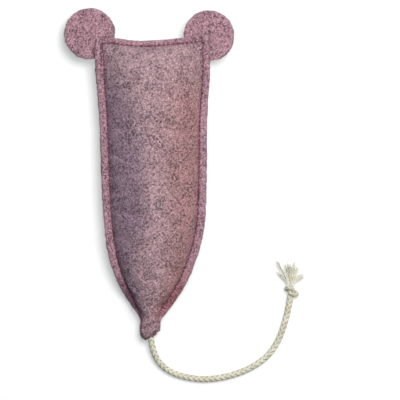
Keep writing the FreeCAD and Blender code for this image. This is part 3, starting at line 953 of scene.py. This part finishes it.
# ---------------- ears
def make_ear(name, centre, radius, corner, side, felt):
    """A round disc of felt, held flat by the seam and sagging a little beyond it."""
    cx, cy = centre
    # The fold runs slantwise across the panel's corner.
    away = np.array([0.707 * side, 0.707])
    fold = np.array(corner) + EAR_FOLD_OUTSIDE * away
    turns = 120
    low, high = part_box(name)
    level = (low.z + high.z) / 2 / MM
    reach = np.concatenate([np.linspace(0.04, 0.93, 20), [0.955, 0.975, 0.988, 0.996, 1.0]])
    points = []
    for face in (1, -1):
        for share in reach:
            for k in range(turns):
                angle = 2 * math.pi * k / turns
                ragged = 0.3 * wobble(61 + side, math.cos(angle) * 4, math.sin(angle) * 4)
                ragged += 0.16 * wobble(63 + side, math.cos(angle) * 12, math.sin(angle) * 12)
                r = radius * share + ragged * share ** 6
                x, y = cx + r * math.cos(angle), cy + r * math.sin(angle)
                past = (np.array([x, y]) - fold) @ away
                # The part that lies deep in the seam is pressed thinner.
                pressed = 0.35 * step_up(-past, 4, 7) + 0.6 * step_up(-past, 7, 10)
                past = max(0.0, past)
                loose = step_up(past, 0, 9)
                sag = -0.0042 * past ** 2 + 0.5 * loose * wobble(65 + side, x / 9, y / 9)
                inside = max(0.0, 1 - (radius - r) / EDGE_ROUND) if share > 0.9 else 0.0
                half = FELT / 2 - EDGE_ROUND * (1 - math.sqrt(max(0.0, 1 - min(inside, 1) ** 2)))
                half = max(half - pressed, 0.08)
                lump = 0.05 * wobble(67, x / 1.3, y / 1.3, face)
                lump += 0.07 * wobble(69, x / 3, y / 3, face)
                points.append((x, y, level + sag + face * (half + lump * loose)))
    faces = []
    size = len(reach) * turns
    for i in range(len(reach) - 1):
        for k in range(turns):
            after = (k + 1) % turns
            a, b = i * turns + k, i * turns + after
            faces.append((a, a + turns, b + turns, b))
            faces.append((size + a, size + b, size + b + turns, size + a + turns))
    edge = (len(reach) - 1) * turns
    for k in range(turns):
        after = (k + 1) % turns
        faces.append((edge + k, size + edge + k, size + edge + after, edge + after))
    faces.append(tuple(range(turns)))
    faces.append(tuple(size + k for k in range(turns))[::-1])
    ear = make_mesh(name + "_felt", points, faces, felt)
    mark(ear, "pink", [1.0])
    fold3 = np.array([*fold, level])
    away3 = np.array([*away, 0.0])
    ear_ends = ((fold3 - away3) * MM, (fold3 + 4.0 * away3) * MM)
    return ear, ear_ends


# ---------------- stitches
def stitch(place, along, height, side, length=STITCH_LENGTH):
    """One stitch: a thread that rises out of the felt and goes back into it."""
    steps = np.array([-1, -0.86, -0.5, 0, 0.5, 0.86, 1]) * length / 2
    lifts = np.array([-0.45, -0.06, 0.16, 0.2, 0.16, -0.06, -0.45])
    path = []
    for step, lift in zip(steps, lifts):
        x, y = place + along * step
        path.append((x, y, height(x, y) + side * lift))
    up = np.tile((0.0, 0.0, 1.0), (len(path), 1))
    return tube_rings(np.array(path), up, 8, THREAD_RADIUS, THREAD_RADIUS * 0.85)


def make_stitches(name, line, panel, side, thread, more=()):
    """A row of even stitches along a line on a panel, and more of given place and length."""
    tree = ray_tree(panel.data)

    def height(x, y):
        found = tree.ray_cast(Vector((x, y, RAY_HEIGHT * side)), Vector((0, 0, -side)))[0]
        return found.z if found else SEAM_LEVEL

    run = length_along(line)
    count = int(run[-1] // STITCH_PITCH)
    rng = random.Random(5 + side)
    tubes = []
    for number in range(count):
        middle = (number + 0.5) * run[-1] / count
        ends = [np.array([np.interp(middle + d, run, line[:, k]) for k in (0, 1)])
                for d in (-1.0, 1.0)]
        along = (ends[1] - ends[0]) / np.linalg.norm(ends[1] - ends[0])
        turn = rng.uniform(-0.09, 0.09)
        along = np.array([along[0] - turn * along[1], along[1] + turn * along[0]])
        tubes.append(stitch((ends[0] + ends[1]) / 2, along, height, side))
    for place, along, length in more:
        along = np.array(along) / np.hypot(*along)
        tubes.append(stitch(np.array(place), along, height, side, length))
    points, faces = join_tubes(tubes)
    return make_mesh(name, points, faces, thread)


# ---------------- loose fibres
def vertex_vectors(mesh, kind):
    """The normals or the places of a mesh's points, as one array."""
    numbers = np.zeros(len(mesh.vertices) * 3)
    mesh.vertices.foreach_get(kind, numbers)
    return numbers.reshape(-1, 3)


def make_fuzz(name, source, count, rng, felt, edge_share=0.5):
    """Short wool fibres that stand off the felt, more of them along its edges."""
    normals = vertex_vectors(source.data, "normal")
    places = vertex_vectors(source.data, "co") / MM
    steep = [i for i, n in enumerate(normals) if abs(n[2]) < 0.5]
    tubes = []
    for _ in range(count):
        pool = steep if rng.random() < edge_share and steep else None
        i = rng.choice(pool) if pool else rng.randrange(len(places))
        normal = normals[i]
        flat = np.array([rng.gauss(0, 1), rng.gauss(0, 1), rng.gauss(0, 1)])
        flat -= normal * flat.dot(normal)
        flat /= max(np.linalg.norm(flat), 1e-6)
        length = rng.uniform(0.5, 1.5)
        lift = rng.uniform(0.12, 0.5) * length * (1.0 if pool else 0.55)
        side = np.cross(normal, flat) * rng.uniform(-0.4, 0.4) * length
        root = places[i] - normal * 0.05
        path = np.array([root, root + flat * length * 0.5 + side + normal * lift,
                         root + flat * length + normal * lift * rng.uniform(0.2, 1.4)])
        if path[:, 2].min() < 0.05:
            continue
        up = np.tile(normal, (3, 1))
        width = np.array([0.045, 0.04, 0.015])
        tubes.append(tube_rings(path, up, 3, width, width))
    points, faces = join_tubes(tubes)
    return make_mesh(name, points, faces, felt)


# ---------------- the whole toy
make_camera()
make_lights()
felt = felt_material("mauve_felt")
thread = thread_material()
cotton = cotton_material("cotton_cord", srgb(206, 205, 190), srgb(170, 169, 150))
fibre = filling_material()

floor_corners = [(-2500, -2500, 0), (2500, -2500, 0), (2500, 2500, 0), (-2500, 2500, 0)]
floor = make_mesh("floor", floor_corners, [(0, 1, 2, 3)], floor_material(), smooth=False)

for name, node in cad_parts.items():
    node.data.materials.clear()
    if name == "filling":
        node.data.materials.append(fibre)
    elif name.startswith(("tail_cord", "tail_root", "tail_inner", "tail_knot", "tassel")):
        node.data.materials.append(cotton)
    elif name in ("needle_thread", "bobbin_thread", "tail_tack"):
        node.data.materials.append(thread)
    else:
        node.data.materials.append(felt)

# The tail: its cord, the knot and the frayed yarns.
tail_cord, cord_line = make_tail_cord(cotton)
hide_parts("tail_cord", "tail_root")
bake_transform(tail_cord)

knot = make_knot(cotton, cord_line)
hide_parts("tail_knot")
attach(knot, "tail")

rng = random.Random(11)
for number, (tip, fan) in enumerate(YARNS, 1):
    start = TASSEL_THROAT + np.array([0.33 * (number - 4.5), 0, 0.5 * math.sin(2.1 * number)])
    yarn = make_yarn("frayed_yarn_%d" % number, tip, start, fan, rng, cotton)
    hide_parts("tassel_yarn_%d" % number)
    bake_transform(yarn)

# The felt body, its stitches, the ears and the loose fibres on the felt.
outline = Outline(ray_tree(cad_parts["front_panel"].data))
front = make_panel("front_panel", 1, outline, felt, "front_felt")
back = make_panel("back_panel", -1, outline, felt, "back_felt")
for panel, node in ((front, "front_panel"), (back, "back_panel")):
    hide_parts(node)
    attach(panel, "body")

seam = outline.seam_line()
needle = make_stitches("needle_stitches", seam, front, 1, thread, BACKTACK)
bobbin = make_stitches("bobbin_stitches", seam, back, -1, thread)
tack = make_stitches("tack_stitches", np.array(TACK_LINE), front, 1, thread)
for row, node in ((needle, "needle_thread"), (bobbin, "bobbin_thread"), (tack, "tail_tack")):
    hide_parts(node)
    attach(row, "body")

for name, (centre, radius, corner, side) in EARS.items():
    ear, (near, far) = make_ear(name, centre, radius, corner, side, felt)
    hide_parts(name, name + "_tab")
    hairs = make_fuzz(name + "_fuzz", ear, 1500, rng, felt, 0.45)
    for piece in (ear, hairs):
        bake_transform(piece)

for panel, count in ((front, 6500), (back, 3000)):
    hairs = make_fuzz(panel.name + "_fuzz", panel, count, rng, felt)
    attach(hairs, "body")
